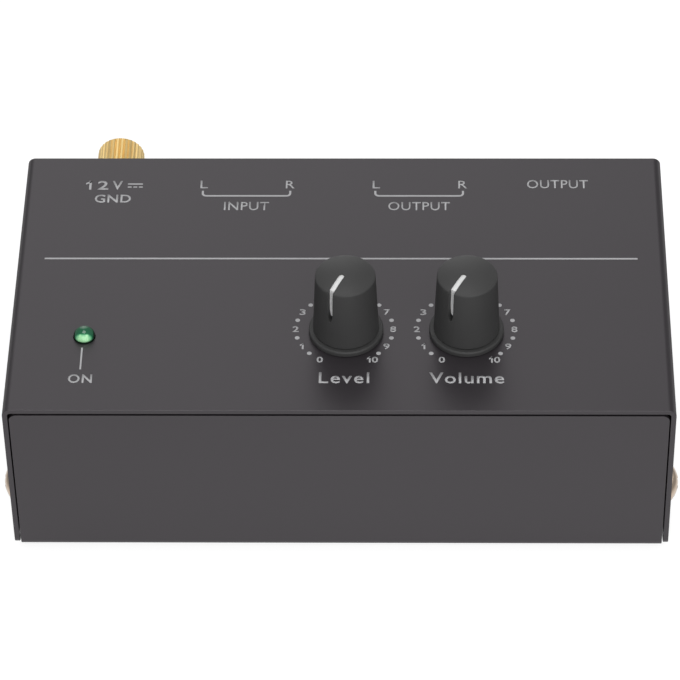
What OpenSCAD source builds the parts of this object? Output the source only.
// Phono preamp: a folded steel case with two dials and an indicator on top,
// and its sockets, inlet and ground post on the back panel.

/* [Case] */
// Width of the case over the painted sheet
case_w = 128; // [126:1:150]
// Depth of the case, front face to back face
case_d = 71.5; // [71:0.5:90]
// Height of the case without its feet
case_h = 38; // [37:0.1:45]
// Thickness of the sheet steel
sheet_t = 1; // [0.9:0.1:1.3]
// Outside radius of the bends in the sheet
bend_r = 1.6; // [1.3:0.1:2]
// Gap between the cover and the panels that it closes round
seam_gap = 0.25; // [0.2:0.05:0.5]
// Height of the cover's lower edges above the case's bottom
cover_lift = 0.3; // [0:0.1:1]
// Radius of the cover's four lower corners
cover_corner_r = 1.9; // [1:0.1:3]
// Radius of the front and back panels' upper corners
panel_corner_r = 1.4; // [0.8:0.1:2.5]
// Height of the flanges that the cover is screwed to
flange_h = 14; // [12:1:20]
// Height of each rubber foot
foot_h = 2; // [1:0.5:4]
// Radius of each rubber foot
foot_r = 4.5; // [3.5:0.5:6]

/* [Controls] */
// Place of the level dial to the right of the middle
level_x = 1.15; // [-4:0.05:4]
// Place of the volume dial to the right of the middle
volume_x = 24.4; // [22:0.1:30]
// Distance of both dials from the front face
control_y = 21.5; // [20:0.5:26]
// Place of the indicator to the right of the middle
led_x = -49.4; // [-52:0.1:-45]
// Distance of the indicator from the front face
led_y = 20; // [18:0.5:26]
// Height of a knob's rim above the cover
knob_rise = 15; // [14:0.5:18]
// Radius of the shallow dome over a knob's top
knob_dome_r = 16; // [12:1:60]
// Radius of the knob's body just above its flange
knob_base_r = 6.35; // [6.2:0.05:7]
// Radius of the knob's body at its top
knob_top_r = 5.8; // [5.6:0.1:6.4]
// Radius of the knob's flange
knob_flange_r = 7.2; // [7:0.1:8.5]
// Width of the knob's white pointer
pointer_w = 0.9; // [0.6:0.05:1.2]
// Clock angle of the level dial's pointer at rest
level_clock = -151; // [-160:1:-130]
// Clock angle of the volume dial's pointer at rest
volume_clock = -148; // [-160:1:-130]
// How far the indicator's dome stands above the cover
led_rise = 2.1; // [1.8:0.1:2.6]

/* [Back panel] */
// Distance between neighbouring phono sockets
jack_pitch = 17.5; // [17:0.5:19]
// Middle of the input pair, to the right of the case's middle
input_x = -19.55; // [-20:0.05:-19]
// Middle of the output pair, to the right of the case's middle
output_x = 15.45; // [15:0.05:16]
// Height of the phono sockets above the case's bottom
jack_z = 18.5; // [17.5:0.5:19]
// How far the phono sockets stand out of the back panel
jack_reach = 10.2; // [9:0.2:11]
// Outside radius of a phono socket's barrel
jack_r = 4.15; // [4.1:0.05:4.2]
// Place of the 6.35 mm line socket
line_x = 43; // [42:0.5:44]
// Bore radius of the line socket
line_bore_r = 3.25; // [3.2:0.05:3.3]
// Place of the ground post and the power inlet
power_x = -46.1; // [-47:0.1:-45]
// Height of the ground post
ground_z = 29; // [28:0.1:30]
// Height of the power inlet
inlet_z = 14.2; // [14:0.2:15]
// Radius of the ground post's M4 stud
stud_r = 2; // [1.8:0.1:2.2]
// Outside radius of the knurled thumb nut
thumb_nut_r = 4.75; // [4.5:0.05:5.5]
// Length of the thumb nut
thumb_nut_l = 9.4; // [8:0.2:11]
// Number of ridges round the thumb nut
knurls = 32; // [24:1:40]

/* [Inside] */
// Thickness of the circuit boards
board_t = 1.6; // [1.2:0.2:1.6]
// Height of the main board's posts
post_h = 5; // [4:0.5:6]
// Height of a potentiometer under the cover
pot_h = 6.8; // [6.5:0.1:7.5]
// Radius of a potentiometer's shaft
shaft_r = 3; // [2.9:0.1:3.1]
// Gap round a shaft that turns in its bush
running_gap = 0.05; // [0.03:0.01:0.09]

/* [Hidden] */
$fn = 64;
EPS = 0.02;
FAR = 200;

// The frame: X runs to the right, Y to the back and Z up, from under the middle of the whole unit.
shoulder_t = 1.2;
ground_washer_t = 0.8;
rear_reach = shoulder_t + ground_washer_t + thumb_nut_l;
front_y = -(case_d + rear_reach) / 2;
half_w = case_w / 2;
panel_half_w = half_w - sheet_t - seam_gap;
panel_h = case_h - sheet_t - seam_gap;
cover_in_z = case_h - sheet_t;
panel_in_y = case_d - sheet_t;
corner_r = 0.6;

// Cover screws
screw_r = 1.5;
screw_head_r = 3.8;
screw_head_h = 1.9;
screw_rim_h = 0.4;
screw_l = 6;
screw_inset = 8;
screw_z = 10.1;
screw_hole_r = 1.7;
collar_r = 2.5;
collar_h = 1.3;
drive_w = 0.9;
drive_span = 3.6;
drive_depth = 1;

// Flanges of the chassis
flange_inset = 3.5;
relief_w = 1.2;

// Feet, board posts and board screws
foot_x = 54;
foot_inset = 9.5;
post_x = 50;
post_front_y = 10;
post_back_y = 38;
post_flats = 5.5;
post_shank_r = 2.1;
board_screw_l = 5;
board_screw_head_r = 2.8;
board_screw_head_h = 1.7;

// Main board
main_z = sheet_t + post_h;
main_top = main_z + board_t;
main_half_w = 56;
main_front_y = 4;
main_back_y = panel_in_y - 0.5;
board_corner_r = 1.5;
pin_r = 0.35;
pin_hole_r = 0.5;
pin_reach = 2.6;

// Control board, which hangs from the potentiometers
control_top = cover_in_z - pot_h;
control_z = control_top - board_t;
control_x0 = -56;
control_x1 = 35;
control_y0 = 11.5;
control_y1 = 33;

// Potentiometer, from the top of the control board
pot_w = 11;
pot_d = 12;
housing_h = 5.3;
housing_floor = 1.2;
cavity_r = 4.6;
plate_t = 0.8;
bush_r = 3.5;
bush_shoulder_r = 4.4;
bush_rise = 3;
bush_hole_r = 3.6;
rotor_r = 4.3;
rotor_z0 = 2.4;
rotor_z1 = 4.4;
pivot_r = 1.5;
shaft_top = pot_h + sheet_t + 13;
flat_depth = 1.5;
flat_l = 9;
tab_w = 2;
tab_t = 0.5;
tab_reach = 2.2;
pot_pin_pitch = 2.5;
pot_pin_rows = [-3.5, 3.5];
bush_washer_t = 0.4;
bush_washer_r = 4.8;
bush_nut_t = 2;
bush_nut_flats = 9;

// Knob, from the top face of the cover
knob_gap = 0.15;
flange_top = 1.15;
groove_top = 1.45;
groove_r = 6;
flange_edge_r = 0.35;
shoulder_r = 0.45;
hollow_r = 5.55;
hollow_h = 3.6;
boss_r = 4;
pocket_r = 4.75;
pocket_top = 7.2;
ribs = 4;
rib_w = 0.8;
bore_top = 13.1;
bore_gap = 0.02;
pointer_sink = [1, 0.15];
pointer_t = 0.6;
pointer_bed = [pointer_sink[0] + pointer_t, pointer_sink[1] + pointer_t];
pointer_start = 0.95;
pointer_drop = 6.4;
pointer_recess = 0.9;
pointer_gap = 0.1;
pointer_tip = 2.2;

// Indicator
led_r = 2.04;
led_hole_r = 2.12;
led_flange_r = 2.35;
led_flange_h = 1;
led_dome_h = 1.5;
led_body_h = 5.3;
led_lead_w = 0.5;
led_lead_x = 1.27;
led_lead_reach = 2;

// Phono socket blocks, from the inside face of the back panel
block_w = 33;
block_depth = 12;
block_rise = 7.5;
boss_jack_r = 5.2;
boss_proud = 0.6;
block_face = sheet_t + boss_proud;
boss_gap = 0.15;
shell_in_r = 3.5;
shell_root_r = 3.95;
shell_depth = 9;
shell_gap = 0.02;
insert_recess = 0.4;
insert_bore_r = 1.65;
insert_floor = 1;
contact_r = 2;
contact_front = 4;
contact_back = -7;
contact_slit = 0.4;
block_screw_r = 1.45;
block_screw_head_r = 2.8;
block_screw_head_h = 1.6;
block_screw_l = 9;

// Line socket
line_body_w = 16;
line_body_d = 26;
line_body_rise = 8;
line_chamber_r = 3.6;
line_chamber_l = 24;
line_bush_r = 4.5;
line_bush_reach = 5.4;
line_bush_seat = 2;
line_hole_r = 4.65;
line_washer_r = 6.4;
line_washer_t = 0.6;
line_nut_flats = 12.5;
line_nut_t = 2.2;
spring_w = 2.4;
spring_t = 0.4;
spring_places = [6, 12, 18];

// Power inlet
inlet_w = 9;
inlet_d = 13;
inlet_rise = 4.5;
inlet_nose_r = 4;
inlet_nose_proud = 0.4;
inlet_hole_r = 4.1;
inlet_bore_r = 2.9;
inlet_bore_l = 9.5;
inlet_pin_r = 1;
inlet_pin_recess = 1;
lug_places = [-3, 0, 3];

// Ground post
post_inner_l = 7;
shoulder_flats = 8;
lug_ring_r = 3.6;
lug_t = 0.6;
lug_l = 8.5;
lug_w = 2.6;
hex_flats = 7;
hex_t = 3.2;
wire_r = 0.7;
wire_bend_r = 3;
washer_r = 4.4;
nut_gap = 0.05;
washer_gap = 0.08;
knurl_depth = 0.3;
neck_r = 3.7;
neck_l = 1.3;
nut_chamfer = 0.5;
stud_recess = 0.8;

// Link between the boards
link_x = -38;
link_w = 14;
link_upper_y = 27;
link_lower_y = 20;
link_socket_w = 4.5;
link_socket_h = 5;
link_socket_over = 1;
ribbon_t = 0.9;
ribbon_bend_r = 3.5;

// Parts on the main board
reservoir_places = [[-40, 38], [-40, 50], [-28.5, 44]];
reservoir_r = 5;
reservoir_h = 13;
reservoir_rim_r = 0.5;
reservoir_groove = 2;
film_places = [for (i = [0:5]) [-17 + 8 * i, 49]];
film_size = [7.2, 3.5, 8];
film_pin_pitch = 5;
film_standoff = 0.4;
chip_places = [[-4, 36], [18, 36]];
chip_size = [9.8, 6.2, 3.3];
chip_lift = 0.6;
chip_pitch = 2.54;
chip_row = 3.81;
chip_notch_r = 0.8;
resistor_places = [for (i = [0:9]) [-16 + 4 * i, 18]];
resistor_r = 1.2;
resistor_l = 6.2;
resistor_waist_r = 1;
resistor_pitch = 10;
lead_r = 0.3;
lead_bend_r = 0.8;
regulator_place = [-48, 22];
regulator_size = [10, 3.2, 9];
regulator_lift = 4;
regulator_pitch = 2.54;
tab_size = [10, 1.3, 15.5];
tab_hole_r = 1.8;

// ---- Placing ----

// Children are drawn from the case's own corner: front face at Y = 0, bottom at Z = 0
module in_case() {
    translate([0, front_y, foot_h]) children();
}

// Children point out of the back: their +Z leaves the back panel from its outside face
module at_back(x, z, y = case_d) {
    in_case() translate([x, y, z]) rotate([-90, 0, 0]) children();
}

// Children point out of one side of the case: sign +1 is the right
module at_side(sign, y, z) {
    in_case() translate([sign * half_w, y, z]) rotate([0, 90 * sign, 0]) children();
}

// Children stand on the control board, on the axis of a dial
module at_dial(x) {
    in_case() translate([x, control_y, control_top]) children();
}

function rest_clock(x) = x == level_x ? level_clock : volume_clock;

// Children stand on the cover's top face, on the axis of a dial, turned as it rests
module at_knob(x) {
    in_case() translate([x, control_y, case_h]) rotate(90 - rest_clock(x)) children();
}

// A flat outline in X and Z is pushed back along Y
module along_y(length) {
    translate([0, length, 0]) rotate([90, 0, 0]) linear_extrude(height = length) children();
}

// A flat outline in Y and Z is pushed to the right along X
module along_x(length) {
    rotate([90, 0, 90]) linear_extrude(height = length) children();
}

// Children are repeated at each place of a list
module at_each(places, z = 0) {
    for (place = places) translate([place[0], place[1], z]) children();
}

// ---- Shapes that repeat ----

module rounded_rect(w, h, r) {
    translate([r, 0]) square([w - 2 * r, h]);
    translate([0, r]) square([w, h - 2 * r]);
    for (x = [r, w - r], y = [r, h - r]) translate([x, y]) circle(r = r);
}

// Section of a sheet bent into a U: its web is at height h and its open side is down
module u_section(w, h, t, r) {
    difference() {
        translate([-w / 2, -r]) rounded_rect(w, h + r, r);
        translate([-w / 2 + t, -3 * r]) rounded_rect(w - 2 * t, h + 3 * r - t, r - t);
        translate([-FAR, -4 * r]) square([2 * FAR, 4 * r]);
    }
}

// The same section with its web down and its open side up
module tray_section(w, h, t, r) {
    translate([0, h]) mirror([0, 1]) u_section(w, h, t, r);
}

module hex(flats, h) {
    cylinder(h = h, r = flats / sqrt(3), $fn = 6);
}

module ring(outer, inner, h) {
    difference() {
        cylinder(h = h, r = outer);
        translate([0, 0, -1]) cylinder(h = h + 2, r = inner);
    }
}

// A flat-footed dome: the top of a sphere, r wide at Z = -foot and h high above Z = 0
module dome(r, h, foot = EPS) {
    dome_r = (r * r + h * h) / (2 * h);
    rotate_extrude() intersection() {
        translate([0, h - dome_r]) circle(r = dome_r);
        translate([0, -foot]) square([r, h + foot]);
    }
}

// A screw with a domed head and a cross recess. It is driven in along -Z and its head rests at Z = 0
module screw(head_r, head_h, r, length) {
    difference() {
        union() {
            translate([0, 0, screw_rim_h]) dome(head_r, head_h - screw_rim_h, screw_rim_h);
            translate([0, 0, -length]) cylinder(h = length + EPS, r = r);
        }
        for (turn = [0, 90]) rotate(turn)
            translate([-drive_span / 2, -drive_w / 2, head_h - drive_depth])
                cube([drive_span, drive_w, head_h]);
    }
}

// A round wire in the X-Z plane: along X from the origin, then bent down to a foot
module bent_wire(r, reach, drop, bend) {
    rotate([0, 90, 0]) cylinder(h = reach - bend, r = r);
    translate([reach - bend, 0, -bend]) rotate([90, 0, 0])
        rotate_extrude(angle = 90) translate([bend, 0]) circle(r = r);
    translate([reach, 0, -drop]) cylinder(h = drop - bend, r = r);
}

// ---- Case ----

cover_screw_ys = [screw_inset, case_d - screw_inset];

module top_cover() color("#555356") difference() {
    in_case() intersection() {
        along_y(case_d) u_section(case_w, case_h, sheet_t, bend_r);
        // the sides end a little above the underside of the chassis, with rounded corners
        translate([-FAR, 0, 0]) along_x(2 * FAR) union() {
            translate([0, cover_lift]) rounded_rect(case_d, case_h, cover_corner_r);
            translate([0, case_h / 2]) square([case_d, case_h]);
        }
    }
    for (x = [level_x, volume_x]) at_dial(x) cylinder(h = 2 * pot_h, r = bush_hole_r);
    in_case() translate([led_x, led_y, cover_in_z - 1]) cylinder(h = 3, r = led_hole_r);
    for (side = [-1, 1], y = cover_screw_ys)
        at_side(side, y, screw_z) translate([0, 0, -2]) cylinder(h = 3, r = screw_hole_r);
}

// Front panel, bottom and back panel, all one strip of sheet
module panel_strip() {
    intersection() {
        translate([-panel_half_w, 0, 0]) along_x(2 * panel_half_w)
            translate([case_d / 2, 0]) tray_section(case_d, panel_h, sheet_t, bend_r);
        along_y(case_d) intersection() {
            translate([-panel_half_w, -panel_h])
                rounded_rect(2 * panel_half_w, 2 * panel_h, panel_corner_r);
            translate([-panel_half_w, 0])
                rounded_rect(2 * panel_half_w, 2 * panel_h, corner_r);
        }
    }
}

// The two side flanges, bent up from the bottom between reliefs in the sheet
module flange_tray() {
    length = case_d - 2 * flange_inset;
    translate([0, flange_inset, 0]) intersection() {
        along_y(length) tray_section(2 * panel_half_w, flange_h, sheet_t, bend_r);
        translate([-FAR, 0, 0]) along_x(2 * FAR) union() {
            rounded_rect(length, flange_h, panel_corner_r);
            square([length, flange_h / 2]);
        }
    }
}

module flange_reliefs() {
    length = case_d - 2 * flange_inset + 2 * relief_w;
    for (side = [-1, 1])
        translate([side * panel_half_w - bend_r, flange_inset - relief_w, -1])
            cube([2 * bend_r, length, 2 * sheet_t + 1]);
}

module chassis() color("#504e51") difference() {
    union() {
        in_case() {
            difference() {
                panel_strip();
                flange_reliefs();
            }
            flange_tray();
        }
        for (side = [-1, 1], y = cover_screw_ys) at_side(side, y, screw_z)
            translate([0, 0, -(half_w - panel_half_w) - sheet_t - collar_h])
                cylinder(h = collar_h + EPS, r = collar_r);
    }
    for (side = [-1, 1], y = cover_screw_ys) at_side(side, y, screw_z)
        translate([0, 0, -screw_l - 1]) cylinder(h = screw_l, r = screw_r + EPS);
    for (middle = [input_x, output_x]) {
        for (side = [-1, 1]) at_back(middle + side * jack_pitch / 2, jack_z)
            translate([0, 0, -2]) cylinder(h = 3, r = boss_jack_r + boss_gap);
        at_back(middle, jack_z) translate([0, 0, -2]) cylinder(h = 3, r = block_screw_r + boss_gap);
    }
    at_back(line_x, jack_z) translate([0, 0, -2]) cylinder(h = 3, r = line_hole_r);
    at_back(power_x, inlet_z) translate([0, 0, -2]) cylinder(h = 3, r = inlet_hole_r);
    at_back(power_x, ground_z) translate([0, 0, -2]) cylinder(h = 3, r = stud_r + boss_gap);
    in_case() at_each(post_places(), -1) cylinder(h = 3, r = post_shank_r + EPS);
}

module cover_screws() color("#c9bfae")
    for (side = [-1, 1], y = cover_screw_ys)
        at_side(side, y, screw_z) screw(screw_head_r, screw_head_h, screw_r, screw_l);

module rubber_feet() color("#1d1d1f")
    for (x = [-foot_x, foot_x], y = [foot_inset, case_d - foot_inset])
        in_case() translate([x, y, -foot_h]) rotate_extrude() {
            polygon([[0, 0], [foot_r - corner_r, 0], [foot_r - corner_r / 2, foot_h], [0, foot_h]]);
            intersection() {
                translate([foot_r - 2 * corner_r, corner_r]) circle(r = corner_r);
                square([foot_r, foot_h]);
            }
        }

// ---- Knobs ----

// Half the knob's outline above its groove, drawn smaller by inset[0] at the side and inset[1] at
// the top. The dome's arc and the shoulder's arc meet on the line through both of their middles.
module knob_outline(inset) {
    base_r = knob_base_r - inset[0];
    top_r = knob_top_r - inset[0];
    dome_r = knob_dome_r - inset[1];
    round_r = max(shoulder_r - max(inset), corner_r / 10);
    shoulder = [top_r - round_r, knob_rise - inset[1] - round_r];
    lean = asin(shoulder[0] / (dome_r - round_r));
    dome_y = shoulder[1] - (dome_r - round_r) * cos(lean);
    meet = [dome_r * sin(lean), dome_y + dome_r * cos(lean)];
    polygon([[0, groove_top - EPS], [base_r, groove_top - EPS], [top_r, shoulder[1]], meet, [0, meet[1]]]);
    translate(shoulder) circle(r = round_r);
    intersection() {
        translate([0, dome_y]) circle(r = dome_r);
        translate([0, shoulder[1]]) square([meet[0], FAR]);
    }
}

// A flat strip along +X whose start is half an ellipse of the given length
module tipped_strip(width, reach, tip) {
    translate([tip, 0]) scale([2 * tip / width, 1]) circle(d = width);
    translate([tip, -width / 2]) square([reach, width]);
}

// The path that the pointer follows: out along the top and down the side to a given depth, where
// it tapers. The gap widens it on every side.
module pointer_path(gap, drop) {
    reach = 2 * knob_flange_r;
    width = pointer_w + 2 * gap;
    intersection() {
        translate([pointer_start - gap, 0, 0]) linear_extrude(2 * knob_rise)
            tipped_strip(width, reach, width / 2);
        translate([reach, 0, knob_rise - drop - gap]) rotate([0, -90, 0])
            linear_extrude(reach) tipped_strip(width, 2 * knob_rise, pointer_tip);
    }
}

module knob() {
    difference() {
        rotate_extrude() difference() {
            union() {
                translate([0, knob_gap])
                    square([knob_flange_r - flange_edge_r, flange_top - knob_gap]);
                translate([0, knob_gap]) square([knob_flange_r, flange_top - knob_gap - flange_edge_r]);
                translate([knob_flange_r - flange_edge_r, flange_top - flange_edge_r])
                    circle(r = flange_edge_r);
                translate([0, knob_gap]) square([groove_r, groove_top]);
                knob_outline([0, 0]);
            }
            square([hollow_r, hollow_h]);
            translate([boss_r, hollow_h - EPS]) square([pocket_r - boss_r, pocket_top - hollow_h]);
            square([shaft_r + bore_gap, bore_top]);
        }
        // the groove that the pointer lies in, and a little more below its end
        intersection() {
            rotate_extrude() difference() {
                square([2 * knob_flange_r, 2 * knob_rise]);
                knob_outline(pointer_bed);
            }
            pointer_path(pointer_gap, pointer_drop + pointer_recess);
        }
    }
    // the flat in the bore, which drives the shaft
    intersection() {
        translate([0, 0, bore_top - flat_l + 1]) cylinder(h = flat_l - 1, r = shaft_r + 2 * bore_gap);
        translate([flat_depth - shaft_r - bore_gap - FAR, -FAR, 0]) cube([FAR, 2 * FAR, FAR]);
    }
    for (i = [0:ribs - 1]) rotate((i + 0.5) * 360 / ribs)
        translate([boss_r - EPS, -rib_w / 2, hollow_h])
            cube([pocket_r - boss_r + 2 * EPS, rib_w, pocket_top - hollow_h]);
}

module pointer() {
    intersection() {
        rotate_extrude() difference() {
            knob_outline(pointer_sink);
            knob_outline(pointer_bed);
        }
        pointer_path(0, pointer_drop);
    }
}

module level_knob() color("#3a3a3c") at_knob(level_x) knob();
module volume_knob() color("#3a3a3c") at_knob(volume_x) knob();
module level_pointer() color("#f2f2f2") at_knob(level_x) pointer();
module volume_pointer() color("#f2f2f2") at_knob(volume_x) pointer();

// ---- Potentiometers ----

module pot_shaft(clock) {
    rotate(90 - clock) difference() {
        union() {
            translate([0, 0, rotor_z1]) cylinder(h = shaft_top - rotor_z1, r = shaft_r);
            translate([0, 0, rotor_z0]) cylinder(h = rotor_z1 - rotor_z0, r = rotor_r);
            translate([0, 0, housing_floor / 2]) cylinder(h = rotor_z0, r = pivot_r);
        }
        translate([-FAR - shaft_r + flat_depth, -FAR, shaft_top - flat_l])
            cube([FAR, 2 * FAR, flat_l + 1]);
    }
}

module pot_housing() {
    difference() {
        translate([-pot_w / 2, -pot_d / 2, 0]) cube([pot_w, pot_d, housing_h]);
        translate([0, 0, housing_floor]) cylinder(h = housing_h, r = cavity_r);
        translate([0, 0, housing_floor / 2 - EPS])
            cylinder(h = housing_floor, r = pivot_r + running_gap);
    }
}

// The metal plate that closes the housing, its threaded bush and its two side tabs
module pot_frame() {
    difference() {
        union() {
            translate([-pot_w / 2 - tab_t, -pot_d / 2, housing_h])
                cube([pot_w + 2 * tab_t, pot_d, plate_t]);
            translate([0, 0, housing_h]) cylinder(h = pot_h - housing_h, r = bush_shoulder_r);
            translate([0, 0, housing_h])
                cylinder(h = pot_h - housing_h + sheet_t + bush_rise, r = bush_r);
            for (side = [-1, 1])
                translate([side * (pot_w + tab_t) / 2 - tab_t / 2, -tab_w / 2, -tab_reach])
                    cube([tab_t, tab_w, tab_reach + housing_h + EPS]);
        }
        cylinder(h = FAR, r = shaft_r + running_gap);
    }
}

module level_shaft() color("#d8d8da") at_dial(level_x) pot_shaft(level_clock);
module volume_shaft() color("#d8d8da") at_dial(volume_x) pot_shaft(volume_clock);
module level_pot_housing() color("#25506b") at_dial(level_x) pot_housing();
module volume_pot_housing() color("#25506b") at_dial(volume_x) pot_housing();
module level_pot_frame() color("#b9b9b4") at_dial(level_x) pot_frame();
module volume_pot_frame() color("#b9b9b4") at_dial(volume_x) pot_frame();

// Places of one potentiometer's pins: two rows of three
pot_pins = [for (row = pot_pin_rows, i = [-1:1]) [i * pot_pin_pitch, row]];

module pot_terminals() color("#cfc9a8")
    for (x = [level_x, volume_x]) at_dial(x)
        at_each(pot_pins, -pin_reach) cylinder(h = pin_reach, r = pin_r);

module bush_washers() color("#bdbdbf")
    for (x = [level_x, volume_x]) in_case() translate([x, control_y, case_h])
        ring(bush_washer_r, bush_r + EPS, bush_washer_t);

module bush_nuts() color("#c4c4c6")
    for (x = [level_x, volume_x]) in_case()
        translate([x, control_y, case_h + bush_washer_t]) difference() {
            hex(bush_nut_flats, bush_nut_t);
            translate([0, 0, -1]) cylinder(h = bush_nut_t + 2, r = bush_r + EPS);
        }

// ---- Indicator ----

led_z = case_h + led_rise - led_body_h;

module led_lens() color("#58c98a") in_case() translate([led_x, led_y, led_z]) {
    cylinder(h = led_flange_h, r = led_flange_r);
    cylinder(h = led_body_h - led_dome_h, r = led_r);
    translate([0, 0, led_body_h - led_dome_h]) dome(led_r, led_dome_h);
}

module led_leads() color("#c4c4c6")
    for (side = [-1, 1]) in_case()
        translate([led_x + side * led_lead_x - led_lead_w / 2, led_y - led_lead_w / 2,
                   control_z - led_lead_reach])
            cube([led_lead_w, led_lead_w, led_z - control_z + led_lead_reach]);

// ---- Boards ----

function post_places() = [for (x = [-post_x, post_x], y = [post_front_y, post_back_y]) [x, y]];

module board(x0, y0, x1, y1) {
    translate([x0, y0, 0]) linear_extrude(height = board_t)
        rounded_rect(x1 - x0, y1 - y0, board_corner_r);
}

module control_board() color("#1f5a3a") difference() {
    in_case() translate([0, 0, control_z]) board(control_x0, control_y0, control_x1, control_y1);
    for (x = [level_x, volume_x]) at_dial(x) {
        at_each(pot_pins, -2 * board_t) cylinder(h = 3 * board_t, r = pin_hole_r);
        for (side = [-1, 1])
            translate([side * (pot_w + tab_t) / 2 - tab_t, -tab_w / 2 - tab_t / 2, -2 * board_t])
                cube([2 * tab_t, tab_w + tab_t, 3 * board_t]);
    }
    for (side = [-1, 1]) in_case()
        translate([led_x + side * led_lead_x, led_y, control_z - 1])
            cylinder(h = 3 * board_t, r = pin_hole_r);
}

// The main board's pins, by what they belong to
film_pins = [for (p = film_places, side = [-1, 1]) [p[0] + side * film_pin_pitch / 2, p[1]]];
chip_pins = [
    for (p = chip_places, i = [-1.5:1.5], side = [-1, 1])
        [p[0] + i * chip_pitch, p[1] + side * chip_row]
];
resistor_pins = [
    for (p = resistor_places, side = [-1, 1]) [p[0], p[1] + side * resistor_pitch / 2]
];
regulator_pins = [
    for (i = [-1:1]) [regulator_place[0] + i * regulator_pitch, regulator_place[1]]
];

module main_board() color("#1f5a3a") in_case() difference() {
    translate([0, 0, main_z]) board(-main_half_w, main_front_y, main_half_w, main_back_y);
    at_each(post_places(), main_z - 1) cylinder(h = 3 * board_t, r = screw_hole_r);
    for (pins = [film_pins, chip_pins, resistor_pins, regulator_pins])
        at_each(pins, main_z - 1) cylinder(h = 3 * board_t, r = pin_hole_r);
    at_each(jack_pins(), main_z - 1) cylinder(h = 3 * board_t, r = 2 * pin_r);
}

module board_posts() color("#c4c4c6") in_case() at_each(post_places()) difference() {
    union() {
        cylinder(h = sheet_t, r = post_shank_r);
        translate([0, 0, sheet_t]) hex(post_flats, post_h);
    }
    translate([0, 0, sheet_t]) cylinder(h = 2 * post_h, r = screw_r + EPS);
}

module board_screws() color("#c4c4c6")
    in_case() at_each(post_places(), main_top)
        screw(board_screw_head_r, board_screw_head_h, screw_r, board_screw_l);

// ---- Link between the boards ----

module link_sockets() color("#e9e4d4") in_case() {
    for (place = [[link_upper_y, control_z - link_socket_h], [link_lower_y, main_top]])
        translate([link_x - link_socket_over, place[0] - link_socket_w / 2, place[1]])
            cube([link_w + 2 * link_socket_over, link_socket_w, link_socket_h]);
}

// A quarter of a bent ribbon's section, for the given quadrant round its centre
module ribbon_bend(quadrant_x, quadrant_y) {
    intersection() {
        difference() {
            circle(r = ribbon_bend_r + ribbon_t / 2);
            circle(r = ribbon_bend_r - ribbon_t / 2);
        }
        scale([quadrant_x, quadrant_y]) square(2 * ribbon_bend_r);
    }
}

module ribbon_cable() color("#8d8f94") in_case() {
    top = control_z - link_socket_h;
    bottom = main_top + link_socket_h;
    middle = (top + bottom) / 2;
    translate([link_x, 0, 0]) along_x(link_w) {
        translate([link_upper_y - ribbon_bend_r, middle + ribbon_bend_r]) ribbon_bend(1, -1);
        translate([link_lower_y + ribbon_bend_r, middle - ribbon_bend_r]) ribbon_bend(-1, 1);
        translate([link_upper_y - ribbon_t / 2, middle + ribbon_bend_r])
            square([ribbon_t, top - middle - ribbon_bend_r]);
        translate([link_lower_y - ribbon_t / 2, bottom])
            square([ribbon_t, middle - ribbon_bend_r - bottom]);
    }
}

// ---- Phono sockets ----

jack_xs = [for (middle = [input_x, output_x], side = [-1, 1]) middle + side * jack_pitch / 2];
left_jack_xs = [jack_xs[0], jack_xs[2]];
right_jack_xs = [jack_xs[1], jack_xs[3]];

// Places of the sockets' own pins through the main board
function jack_pins() = concat(
    [for (x = jack_xs, back = [3, 10]) [x, panel_in_y - back]],
    [for (x = lug_places) [power_x + x, panel_in_y - inlet_d + 2]],
    [for (back = spring_places) [line_x, panel_in_y - back]]
);

module jack_block(middle) {
    difference() {
        union() {
            in_case() translate([middle - block_w / 2, panel_in_y - block_depth, main_top])
                cube([block_w, block_depth, jack_z + block_rise - main_top]);
            for (side = [-1, 1]) at_back(middle + side * jack_pitch / 2, jack_z, panel_in_y)
                translate([0, 0, -EPS]) cylinder(h = sheet_t + boss_proud + EPS, r = boss_jack_r);
        }
        for (side = [-1, 1]) at_back(middle + side * jack_pitch / 2, jack_z, panel_in_y)
            translate([0, 0, -shell_depth]) cylinder(h = FAR, r = shell_root_r + shell_gap);
        at_back(middle, jack_z, panel_in_y) translate([0, 0, -block_screw_l])
            cylinder(h = FAR, r = block_screw_r + EPS);
    }
}

module input_jack_block() color("#232325") jack_block(input_x);
module output_jack_block() color("#232325") jack_block(output_x);

// Each shell is a barrel for the plug on a slimmer root, which is pressed into the block
module jack_shells() color("#c9a24a")
    for (x = jack_xs) at_back(x, jack_z, panel_in_y) difference() {
        union() {
            translate([0, 0, -shell_depth]) cylinder(h = shell_depth + block_face + EPS, r = shell_root_r);
            translate([0, 0, block_face]) cylinder(h = jack_reach - boss_proud, r = jack_r);
        }
        translate([0, 0, -shell_depth - 1]) cylinder(h = FAR, r = shell_in_r);
    }

module jack_insert() difference() {
    translate([0, 0, -shell_depth])
        cylinder(h = shell_depth + sheet_t + jack_reach - insert_recess, r = shell_in_r - shell_gap);
    translate([0, 0, insert_floor - shell_depth]) cylinder(h = FAR, r = insert_bore_r);
    translate([0, 0, contact_back]) cylinder(h = contact_front - contact_back + EPS, r = contact_r);
}

module left_jack_inserts() color("#ecebe6")
    for (x = left_jack_xs) at_back(x, jack_z, panel_in_y) jack_insert();

module right_jack_inserts() color("#b3221f")
    for (x = right_jack_xs) at_back(x, jack_z, panel_in_y) jack_insert();

// A sprung sleeve in a seat deep in each insert, slit along its length
module jack_contacts() color("#c9a24a")
    for (x = jack_xs) at_back(x, jack_z, panel_in_y) translate([0, 0, contact_back]) difference() {
        ring(contact_r - EPS, insert_bore_r, contact_front - contact_back);
        translate([-contact_slit / 2, 0, 1]) cube([contact_slit, 2 * contact_r, FAR]);
    }

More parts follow.
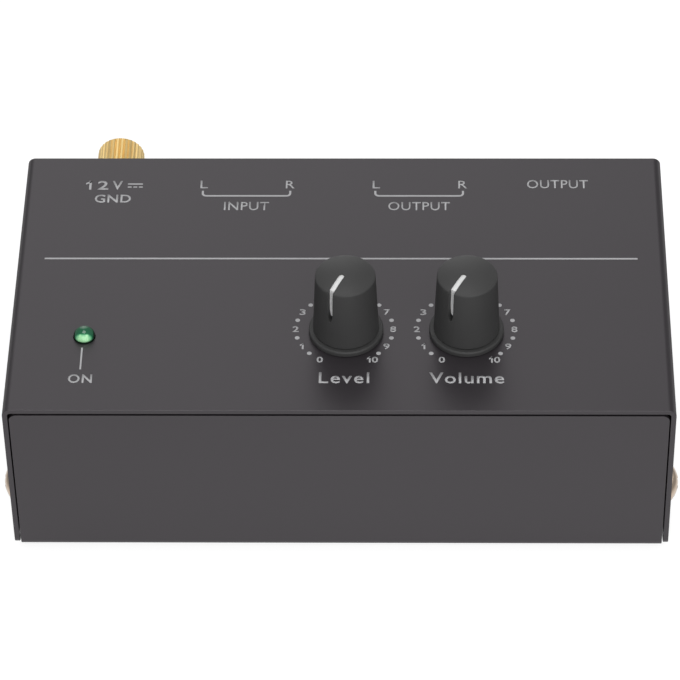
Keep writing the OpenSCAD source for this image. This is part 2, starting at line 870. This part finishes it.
module jack_block_screws() color("#39393b")
    for (middle = [input_x, output_x]) at_back(middle, jack_z)
        screw(block_screw_head_r, block_screw_head_h, block_screw_r, block_screw_l);

// ---- Line socket ----

module line_jack_body() color("#232325") difference() {
    in_case() translate([line_x - line_body_w / 2, panel_in_y - line_body_d, main_top])
        cube([line_body_w, line_body_d, jack_z + line_body_rise - main_top]);
    at_back(line_x, jack_z, panel_in_y) {
        translate([0, 0, -line_chamber_l]) cylinder(h = FAR, r = line_chamber_r);
        translate([0, 0, -line_bush_seat]) cylinder(h = FAR, r = line_bush_r + shell_gap);
    }
    // a slot in the roof for each contact spring
    for (back = spring_places) in_case()
        translate([line_x - spring_w / 2 - EPS, panel_in_y - back - spring_w / 2 - EPS, jack_z])
            cube([spring_w + 2 * EPS, spring_w + 2 * EPS, FAR]);
}

module line_jack_bush() color("#c4c4c6") at_back(line_x, jack_z, panel_in_y)
    translate([0, 0, -line_bush_seat])
        ring(line_bush_r, line_bore_r, line_bush_seat + sheet_t + line_bush_reach);

module line_jack_washer() color("#c4c4c6") at_back(line_x, jack_z)
    ring(line_washer_r, line_bush_r + EPS, line_washer_t);

module line_jack_nut() color("#c4c4c6") at_back(line_x, jack_z)
    translate([0, 0, line_washer_t]) difference() {
        hex(line_nut_flats, line_nut_t);
        translate([0, 0, -1]) cylinder(h = line_nut_t + 2, r = line_bush_r + EPS);
    }

// Each spring lies in its slot over the plug's path, with its tail folded over the roof
module line_jack_springs() color("#cfc9a8") {
    roof = jack_z + line_body_rise;
    for (back = spring_places) in_case()
        translate([line_x - spring_w / 2, panel_in_y - back - spring_w / 2, 0]) {
            translate([0, 0, jack_z + line_chamber_r]) cube([spring_w, spring_t, roof - jack_z
                - line_chamber_r + spring_t]);
            translate([0, 0, jack_z + line_chamber_r]) cube([spring_w, spring_w, spring_t]);
            translate([0, 0, roof]) cube([spring_w, spring_w, spring_t]);
        }
}

// ---- Power inlet ----

module inlet_body() color("#232325") difference() {
    union() {
        in_case() translate([power_x - inlet_w / 2, panel_in_y - inlet_d, main_top])
            cube([inlet_w, inlet_d, inlet_z + inlet_rise - main_top]);
        at_back(power_x, inlet_z, panel_in_y) translate([0, 0, -EPS])
            cylinder(h = sheet_t + inlet_nose_proud + EPS, r = inlet_nose_r);
    }
    at_back(power_x, inlet_z) {
        translate([0, 0, inlet_nose_proud - inlet_bore_l]) cylinder(h = FAR, r = inlet_bore_r);
        translate([0, 0, inlet_nose_proud - inlet_bore_l - 2])
            cylinder(h = FAR, r = inlet_pin_r + EPS);
    }
}

module inlet_pin() color("#d0d0d2") at_back(power_x, inlet_z)
    translate([0, 0, inlet_nose_proud - inlet_bore_l - 2]) {
        cylinder(h = inlet_bore_l + 2 - inlet_pin_recess - inlet_pin_r, r = inlet_pin_r);
        translate([0, 0, inlet_bore_l + 2 - inlet_pin_recess - inlet_pin_r]) sphere(r = inlet_pin_r);
    }

module inlet_lugs() color("#cfc9a8") in_case()
    at_each([for (x = lug_places) [power_x + x, panel_in_y - inlet_d + 2]], main_top - pin_reach)
        cylinder(h = pin_reach, r = 1.5 * pin_r);

// ---- Ground post ----

module ground_post() color("#c79a3c") at_back(power_x, ground_z) {
    translate([0, 0, -sheet_t - post_inner_l])
        cylinder(h = sheet_t + post_inner_l + rear_reach - stud_recess, r = stud_r);
    hex(shoulder_flats, shoulder_t);
}

module ground_lug() color("#d5cfae") at_back(power_x, ground_z, panel_in_y)
    translate([0, 0, -lug_t]) difference() {
        union() {
            cylinder(h = lug_t, r = lug_ring_r);
            translate([0, -lug_w / 2, 0]) cube([lug_l, lug_w, lug_t]);
        }
        translate([0, 0, -1]) cylinder(h = lug_t + 2, r = stud_r + EPS);
    }

module ground_hex_nut() color("#c4c4c6") at_back(power_x, ground_z, panel_in_y)
    translate([0, 0, -lug_t - hex_t]) difference() {
        hex(hex_flats, hex_t);
        translate([0, 0, -1]) cylinder(h = hex_t + 2, r = stud_r + EPS);
    }

// From the lug forward into the case, then down to the main board
module ground_wire() color("#3f9a4a") in_case()
    translate([power_x + lug_l - wire_r, panel_in_y - lug_t, ground_z]) rotate(-90)
        bent_wire(wire_r, 2 * wire_bend_r, ground_z - main_top, wire_bend_r);

module ground_washer() color("#c79a3c") at_back(power_x, ground_z)
    translate([0, 0, shoulder_t]) ring(washer_r, stud_r + washer_gap, ground_washer_t);

// Outline of the knurled nut: a ridge and a groove for each knurl
module knurl_outline() {
    step = 360 / knurls;
    root_r = thumb_nut_r - knurl_depth;
    polygon([
        for (i = [0:knurls - 1], corner = [[0, root_r], [0.3, thumb_nut_r], [0.7, thumb_nut_r]])
            corner[1] * [cos((i + corner[0]) * step), sin((i + corner[0]) * step)]
    ]);
}

module ground_thumb_nut() color("#d9ab4e") at_back(power_x, ground_z)
    translate([0, 0, shoulder_t + ground_washer_t]) difference() {
        union() {
            cylinder(h = neck_l + EPS, r = neck_r);
            intersection() {
                translate([0, 0, neck_l]) linear_extrude(height = thumb_nut_l - neck_l)
                    knurl_outline();
                rotate_extrude() polygon([
                    [0, 0], [thumb_nut_r - nut_chamfer, neck_l],
                    [thumb_nut_r + EPS, neck_l + nut_chamfer],
                    [thumb_nut_r + EPS, thumb_nut_l - nut_chamfer],
                    [thumb_nut_r - nut_chamfer, thumb_nut_l], [0, thumb_nut_l]
                ]);
            }
        }
        translate([0, 0, -1]) cylinder(h = thumb_nut_l + 2, r = stud_r + nut_gap);
    }

// ---- Parts on the main board ----

module reservoir_capacitors() color("#1c2c52") in_case() at_each(reservoir_places, main_top)
    rotate_extrude() difference() {
        union() {
            square([reservoir_r - reservoir_rim_r, reservoir_h]);
            translate([0, reservoir_rim_r]) square([reservoir_r, reservoir_h - 2 * reservoir_rim_r]);
            for (z = [reservoir_rim_r, reservoir_h - reservoir_rim_r])
                translate([reservoir_r - reservoir_rim_r, z]) circle(r = reservoir_rim_r);
        }
        translate([reservoir_r + reservoir_rim_r / 2, reservoir_groove])
            circle(r = reservoir_rim_r);
    }

module film_capacitors() color("#b5432a") in_case() at_each(film_places, main_top) {
    translate([-film_size[0] / 2, -film_size[1] / 2, film_standoff]) cube(film_size);
    for (side = [-1, 1]) translate([side * film_pin_pitch / 2, 0, -pin_reach])
        cylinder(h = pin_reach + film_standoff + EPS, r = lead_r);
}

module amplifier_chips() color("#1a1a1c") in_case() at_each(chip_places, main_top + chip_lift)
    difference() {
        translate([-chip_size[0] / 2, -chip_size[1] / 2, 0]) cube(chip_size);
        translate([-chip_size[0] / 2, 0, chip_size[2] - chip_lift])
            cylinder(h = 1, r = chip_notch_r);
    }

// Each leg runs out of the chip's side and down through the board
module chip_legs() color("#c9c9cb") in_case() for (p = chip_places, i = [-1.5:1.5], side = [-1, 1])
    translate([p[0] + i * chip_pitch, p[1], main_top]) {
        reach = chip_row - chip_size[1] / 2;
        height = chip_lift + chip_size[2] / 2;
        translate([-pin_r, min(side * chip_row, side * chip_size[1] / 2) - (side < 0 ? pin_r / 2 : 0),
                   height - pin_r]) cube([2 * pin_r, reach + pin_r / 2, pin_r]);
        translate([-pin_r, side * chip_row - pin_r / 2, 0]) cube([2 * pin_r, pin_r, height]);
        translate([-pin_r / 2, side * chip_row - pin_r / 2, -pin_reach])
            cube([pin_r, pin_r, pin_reach + EPS]);
    }

module resistors() color("#c8b48a") in_case() at_each(resistor_places, main_top + resistor_r)
    translate([0, -resistor_l / 2, 0]) along_y_round() union() {
        square([resistor_waist_r, resistor_l]);
        for (end = [0, resistor_l - resistor_r]) translate([0, end]) square([resistor_r, resistor_r]);
    }

// A half outline, drawn up its own Y, is turned round the world's Y
module along_y_round() {
    rotate([-90, 0, 0]) rotate_extrude() children();
}

module resistor_leads() color("#c9c9cb") in_case()
    at_each(resistor_places, main_top + resistor_r)
        for (turn = [0, 180]) rotate(turn + 90) translate([resistor_l / 2, 0, 0])
            bent_wire(lead_r, (resistor_pitch - resistor_l) / 2, resistor_r + pin_reach, lead_bend_r);

module regulator_tab() color("#b9b9bb") in_case()
    translate([regulator_place[0], regulator_place[1] + regulator_size[1] / 2, main_top + regulator_lift])
        difference() {
            translate([-tab_size[0] / 2, 0, 0]) cube(tab_size);
            translate([0, -1, tab_size[2] - 2 * tab_hole_r]) rotate([-90, 0, 0])
                cylinder(h = tab_size[1] + 2, r = tab_hole_r);
        }

module voltage_regulator() color("#1a1a1c") in_case()
    translate([regulator_place[0] - regulator_size[0] / 2, regulator_place[1] - regulator_size[1] / 2,
               main_top + regulator_lift]) cube(regulator_size);

module regulator_legs() color("#c9c9cb") in_case() at_each(regulator_pins, main_top - pin_reach)
    translate([-pin_r, -pin_r / 2, 0]) cube([2 * pin_r - EPS, pin_r, pin_reach + regulator_lift]);

top_cover();
chassis();
cover_screws();
rubber_feet();
level_knob();
level_pointer();
level_shaft();
level_pot_housing();
level_pot_frame();
volume_knob();
volume_pointer();
volume_shaft();
volume_pot_housing();
volume_pot_frame();
pot_terminals();
bush_washers();
bush_nuts();
led_lens();
led_leads();
control_board();
link_sockets();
ribbon_cable();
main_board();
board_posts();
board_screws();
inlet_body();
inlet_pin();
inlet_lugs();
ground_post();
ground_lug();
ground_hex_nut();
ground_wire();
ground_washer();
ground_thumb_nut();
input_jack_block();
output_jack_block();
jack_shells();
left_jack_inserts();
right_jack_inserts();
jack_contacts();
jack_block_screws();
line_jack_body();
line_jack_bush();
line_jack_washer();
line_jack_nut();
line_jack_springs();
reservoir_capacitors();
film_capacitors();
amplifier_chips();
chip_legs();
resistors();
resistor_leads();
voltage_regulator();
regulator_tab();
regulator_legs();
